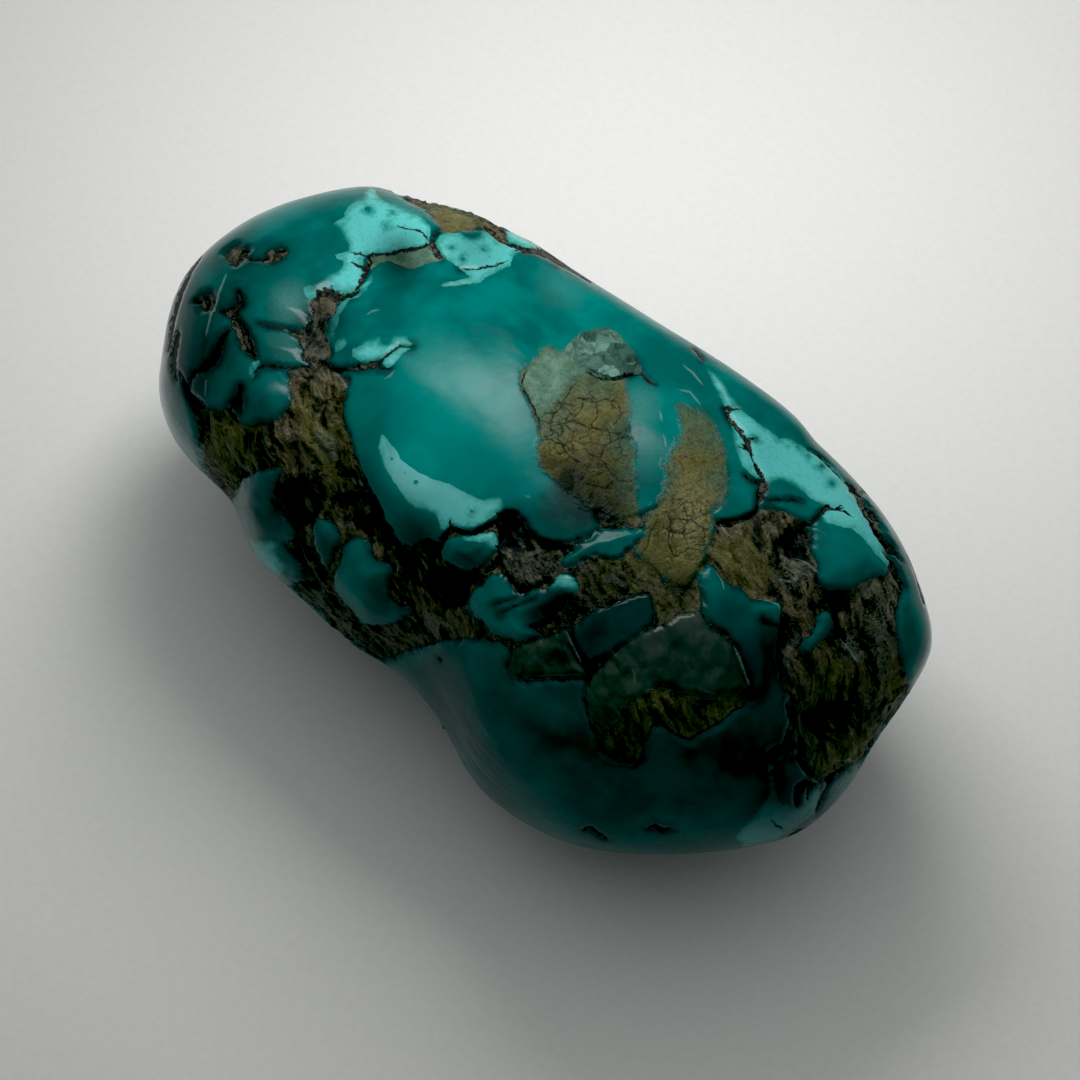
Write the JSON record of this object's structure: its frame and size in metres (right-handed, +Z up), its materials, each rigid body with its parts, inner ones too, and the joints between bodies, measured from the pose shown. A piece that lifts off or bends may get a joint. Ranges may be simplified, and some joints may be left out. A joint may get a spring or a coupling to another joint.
{
  "type": "raw turquoise nugget",
  "caption": "Rounded oblong raw turquoise stone, worn smooth, blue-green with pale blue patches and brown and black host-rock veins, lying on a small worn flat.",
  "frame": {"origin": "middle of the stone's base box, on the surface that it rests on", "axes": "+X along the stone's length, towards the hollowed end; +Z up"},
  "size_m": [0.0428, 0.023, 0.0205],
  "materials": {
    "turquoise": "waxy, half-polished blue-green turquoise with pale blue patches, tan crackled skin and dull brown-black matrix"
  },
  "bodies": {
    "root": {"nugget": "turquoise"}
  },
  "joints": []
}
